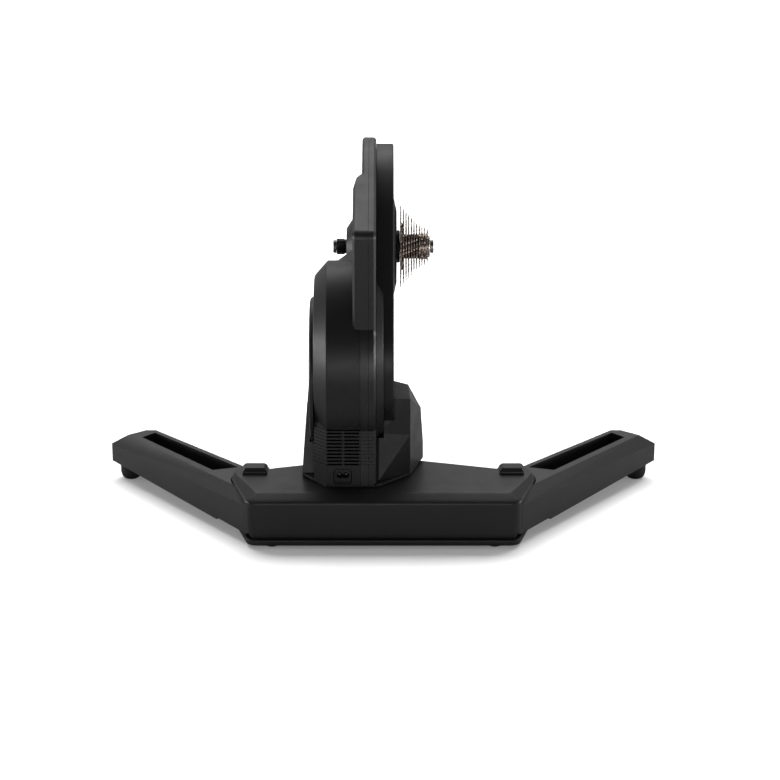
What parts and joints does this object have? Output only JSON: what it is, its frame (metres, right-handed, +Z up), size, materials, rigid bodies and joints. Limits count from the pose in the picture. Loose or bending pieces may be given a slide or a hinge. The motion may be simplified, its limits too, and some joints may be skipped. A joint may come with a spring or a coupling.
{
  "type": "direct drive bike trainer",
  "caption": "Black direct drive bike trainer: upright flywheel drum and belt cover with a sprocket cassette, on a wide base with folding legs.",
  "frame": {"origin": "centre of the bounding box at floor level, under the open feet", "axes": "+X is the drive side, where the cassette is; +Y is the way the rider faces; +Z is up"},
  "size_m": [0.7832, 0.434, 0.494],
  "materials": {
    "black_shell": "satin moulded black plastic",
    "black_casting": "satin black powder coat on cast aluminium",
    "black_rubber": "matt black rubber",
    "black_metal": "black anodised aluminium",
    "grey_metal": "grey anodised aluminium",
    "cassette_steel": "plated sprocket steel with a warm grey tint",
    "bearing_steel": "bright steel",
    "cast_iron": "bare cast iron",
    "copper": "copper windings",
    "board_green": "green circuit board"
  },
  "bodies": {
    "frame_and_base": {"base_cover": "black_shell", "base_tray": "black_shell", "pedestal": "black_shell", "drum_cover": "black_shell", "drum_end_disc": "black_shell", "drum_flange": "black_shell", "belt_cover": "black_shell", "hub_cover": "black_shell", "power_inlet": "black_shell", "frame_left": "black_casting", "frame_right": "black_casting", "front_leg": "black_casting", "base_foot_left": "black_rubber", "base_foot_right": "black_rubber", "front_foot": "black_rubber", "drive_belt": "black_rubber", "axle_nut": "black_metal", "idler_arm": "black_metal", "axle_cap_left": "grey_metal", "axle_cap_right": "grey_metal", "axle_tube": "bearing_steel", "pulley_bearing_left": "bearing_steel", "pulley_bearing_right": "bearing_steel", "freehub_bearing": "bearing_steel", "shaft_bearing_left": "bearing_steel", "shaft_bearing_right": "bearing_steel", "idler_pin": "bearing_steel", "leg_pin_left": "bearing_steel", "leg_pin_right": "bearing_steel", "base_screw_1": "bearing_steel", "base_screw_2": "bearing_steel", "base_screw_3": "bearing_steel", "base_screw_4": "bearing_steel", "brake_stator": "copper", "circuit_board": "board_green"},
    "flywheel_rotor": {"flywheel": "cast_iron", "flywheel_shaft": "bearing_steel", "motor_pulley": "bearing_steel"},
    "pulley_rotor": {"drive_pulley": "black_metal", "ratchet_collar": "black_metal"},
    "cassette": {"freehub_body": "black_metal", "lockring": "cassette_steel", "sprocket_28t": "cassette_steel", "sprocket_25t": "cassette_steel", "sprocket_23t": "cassette_steel", "sprocket_21t": "cassette_steel", "sprocket_19t": "cassette_steel", "sprocket_17t": "cassette_steel", "sprocket_15t": "cassette_steel", "sprocket_14t": "cassette_steel", "sprocket_13t": "cassette_steel", "sprocket_12t": "cassette_steel", "sprocket_11t": "cassette_steel"},
    "idler": {"idler_pulley": "black_metal"},
    "left_leg": {"leg_left": "black_casting"},
    "right_leg": {"leg_right": "black_casting"},
    "left_latch": {"leg_latch_left": "black_shell"},
    "right_latch": {"leg_latch_right": "black_shell"},
    "left_foot": {"leg_foot_left": "black_rubber"},
    "right_foot": {"leg_foot_right": "black_rubber"}
  },
  "joints": [
    {"name": "flywheel_spin", "type": "hinge", "parent": "frame_and_base", "child": "flywheel_rotor", "pos_m": [0, -0.079, 0.2365], "axis": [1, 0, 0], "continuous": true},
    {"name": "pulley_spin", "type": "hinge", "parent": "frame_and_base", "child": "pulley_rotor", "pos_m": [0, 0.063, 0.34], "axis": [1, 0, 0], "continuous": true},
    {"name": "cassette_freewheel", "type": "hinge", "parent": "pulley_rotor", "child": "cassette", "pos_m": [0, 0.063, 0.34], "axis": [1, 0, 0], "continuous": true},
    {"name": "idler_spin", "type": "hinge", "parent": "frame_and_base", "child": "idler", "pos_m": [0, -0.0294, 0.1974], "axis": [1, 0, 0], "continuous": true},
    {"name": "left_leg_fold", "type": "hinge", "parent": "frame_and_base", "child": "left_leg", "pos_m": [-0.175, -0.133, 0.046], "axis": [0, 0, -1], "range_deg": [0, 45]},
    {"name": "left_latch_lift", "type": "slide", "parent": "frame_and_base", "child": "left_latch", "axis": [0, 0, 1], "range_m": [0, 0.006], "stiffness_N_per_m": 400, "springref_m": -0.002},
    {"name": "left_foot_level", "type": "slide", "parent": "left_leg", "child": "left_foot", "axis": [0, 0, 1], "range_m": [-0.006, 0]},
    {"name": "right_leg_fold", "type": "hinge", "parent": "frame_and_base", "child": "right_leg", "pos_m": [0.175, -0.133, 0.046], "axis": [0, 0, 1], "range_deg": [0, 45]},
    {"name": "right_latch_lift", "type": "slide", "parent": "frame_and_base", "child": "right_latch", "axis": [0, 0, 1], "range_m": [0, 0.006], "stiffness_N_per_m": 400, "springref_m": -0.002},
    {"name": "right_foot_level", "type": "slide", "parent": "right_leg", "child": "right_foot", "axis": [0, 0, 1], "range_m": [-0.006, 0]}
  ],
  "couplings": [
    {"joint": "pulley_spin", "follows": "flywheel_spin", "ratio": 0.12879},
    {"joint": "idler_spin", "follows": "flywheel_spin", "ratio": -1.2143}
  ]
}
